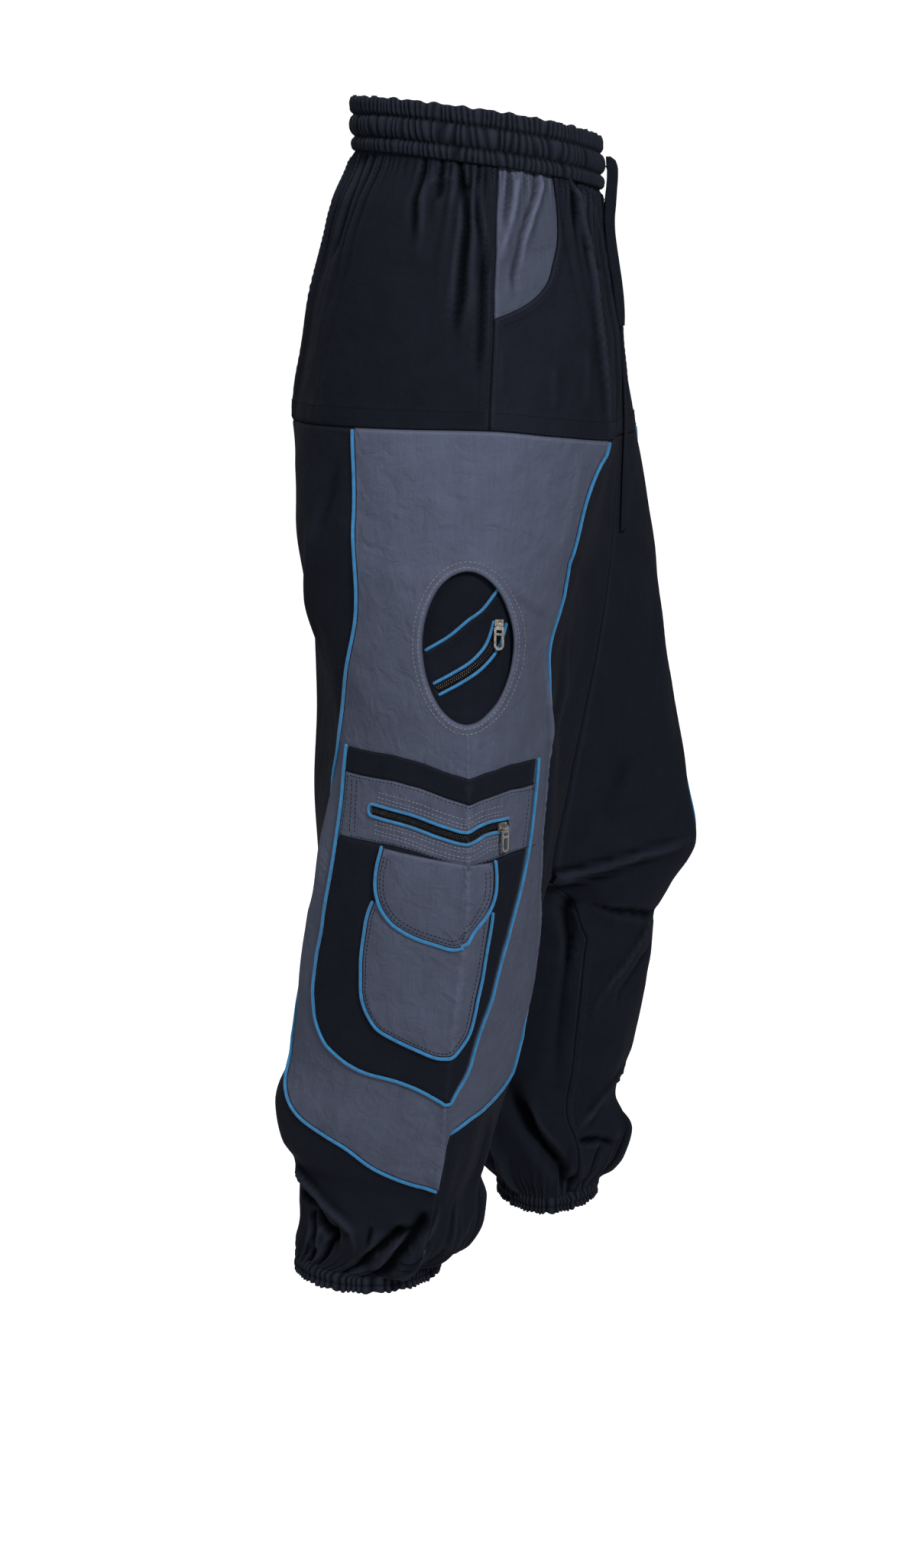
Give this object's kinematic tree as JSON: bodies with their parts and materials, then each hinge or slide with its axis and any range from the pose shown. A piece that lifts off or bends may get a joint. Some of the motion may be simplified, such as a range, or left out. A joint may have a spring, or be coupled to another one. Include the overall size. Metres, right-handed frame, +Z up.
{
  "type": "harem pants",
  "caption": "Drop-crotch harem pants with a shirred elastic waist and ankles, contrast side panels edged with piping, a cargo pocket and zips, in a hollow worn pose.",
  "frame": {"origin": "the middle of the waist, where the wearer holds the garment up, at the waistband's middle height", "axes": "+Z up, -Y towards the wearer's front, +X towards the wearer's left"},
  "size_m": [0.4578, 0.3823, 1.0772],
  "materials": {
    "black_cloth": "matt washed cotton with a fine nap, charcoal black",
    "grey_cloth": "matt washed cotton with a fine nap, blue grey",
    "blue_piping": "woven cord piping, mid blue",
    "zip_teeth": "darkened brass teeth on black tape",
    "zip_metal": "antique dark steel"
  },
  "bodies": {
    "garment": {"waistband": "black_cloth", "yoke_front_right": "black_cloth", "yoke_front_left": "black_cloth", "yoke_back_right": "black_cloth", "yoke_back_left": "black_cloth", "leg_front_right": "black_cloth", "leg_front_left": "black_cloth", "leg_back_right": "black_cloth", "leg_back_left": "black_cloth", "ankle_right": "black_cloth", "ankle_left": "black_cloth", "cargo_pocket": "black_cloth", "cargo_strip": "black_cloth", "inner_bag": "black_cloth", "inner_pocket": "black_cloth", "drawstring_right": "black_cloth", "drawstring_left": "black_cloth", "pocket_facing_right": "grey_cloth", "pocket_facing_left": "grey_cloth", "side_panel_right": "grey_cloth", "side_panel_left": "grey_cloth", "cargo_zip_panel": "grey_cloth", "pocket_flap": "grey_cloth", "patch_pocket": "grey_cloth", "side_piping_front_right": "blue_piping", "side_piping_front_left": "blue_piping", "side_piping_back_right": "blue_piping", "side_piping_back_left": "blue_piping", "cargo_piping": "blue_piping", "flap_piping": "blue_piping", "patch_piping": "blue_piping", "zip_piping_upper": "blue_piping", "zip_piping_lower": "blue_piping", "inner_pocket_piping": "blue_piping", "inner_zip_piping_upper": "blue_piping", "inner_zip_piping_lower": "blue_piping", "zip_tape": "zip_teeth", "inner_zip_tape": "zip_teeth", "zip_slider": "zip_metal", "inner_zip_slider": "zip_metal"},
    "zip_pull": {"zip_pull": "zip_metal"},
    "inner_zip_pull": {"inner_zip_pull": "zip_metal"}
  },
  "joints": [
    {"name": "zip_pull_swing", "type": "hinge", "parent": "garment", "child": "zip_pull", "pos_m": [-0.20596, -0.04877, -0.578], "axis": [-0.8134, 0.5817, 0], "range_deg": [-5, 60]},
    {"name": "inner_zip_pull_swing", "type": "hinge", "parent": "garment", "child": "inner_zip_pull", "pos_m": [-0.19822, -0.042, -0.405], "axis": [0, 1, 0], "range_deg": [-5, 45]}
  ]
}
